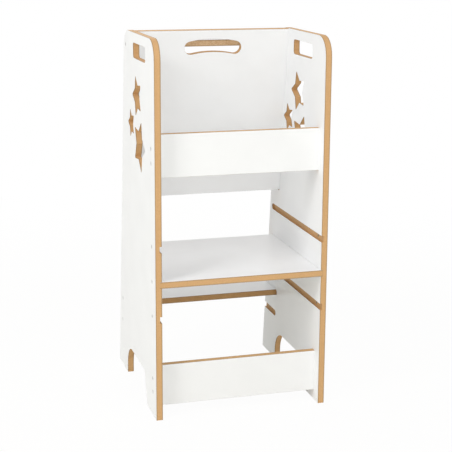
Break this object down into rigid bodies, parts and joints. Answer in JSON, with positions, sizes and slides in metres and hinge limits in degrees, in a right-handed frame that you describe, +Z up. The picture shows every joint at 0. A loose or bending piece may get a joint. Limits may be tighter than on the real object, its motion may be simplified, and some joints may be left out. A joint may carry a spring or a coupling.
{
  "type": "toddler kitchen helper stool",
  "caption": "Tall open tower for a small child at a worktop: side panels with cut-outs, leaning back panel, front rails, and a platform and crossboard that slide into grooves.",
  "frame": {"origin": "on the floor, under the centre of the object's bounding box", "axes": "+Z up; the front, with the open sides of the platform's grooves and the two front rails, faces -Y; +X is to the right of someone who looks at the front"},
  "size_m": [0.4, 0.42, 0.85],
  "materials": {
    "laminated_board": "smooth white faces with bare tan edges, satin",
    "zinc_plated_steel": "zinc plated, satin",
    "insert_brass": "turned, satin",
    "beech": "raw, matte"
  },
  "bodies": {
    "tower": {"left_side_panel": "laminated_board", "right_side_panel": "laminated_board", "back_panel": "laminated_board", "front_top_rail": "laminated_board", "front_kick_rail": "laminated_board", "rear_top_rail": "laminated_board", "front_top_rail_screws": "zinc_plated_steel", "front_kick_rail_screws": "zinc_plated_steel", "rear_top_rail_screws": "zinc_plated_steel", "platform_lock_screws_low": "zinc_plated_steel", "platform_lock_screws_middle": "zinc_plated_steel", "platform_lock_screws_high": "zinc_plated_steel", "crossboard_lock_screws_low": "zinc_plated_steel", "crossboard_lock_screws_high": "zinc_plated_steel", "platform_inserts_low": "insert_brass", "platform_inserts_middle": "insert_brass", "platform_inserts_high": "insert_brass", "crossboard_inserts_low": "insert_brass", "crossboard_inserts_high": "insert_brass", "rear_top_rail_dowels": "beech", "back_panel_dowels": "beech"},
    "platform": {"platform": "laminated_board"},
    "crossboard": {"rear_crossboard": "laminated_board"}
  },
  "joints": [
    {"name": "platform_slide", "type": "slide", "parent": "tower", "child": "platform", "axis": [0, -1, 0], "range_m": [0, 0.36]},
    {"name": "crossboard_slide", "type": "slide", "parent": "tower", "child": "crossboard", "axis": [0, 1, 0], "range_m": [0, 0.1]}
  ]
}
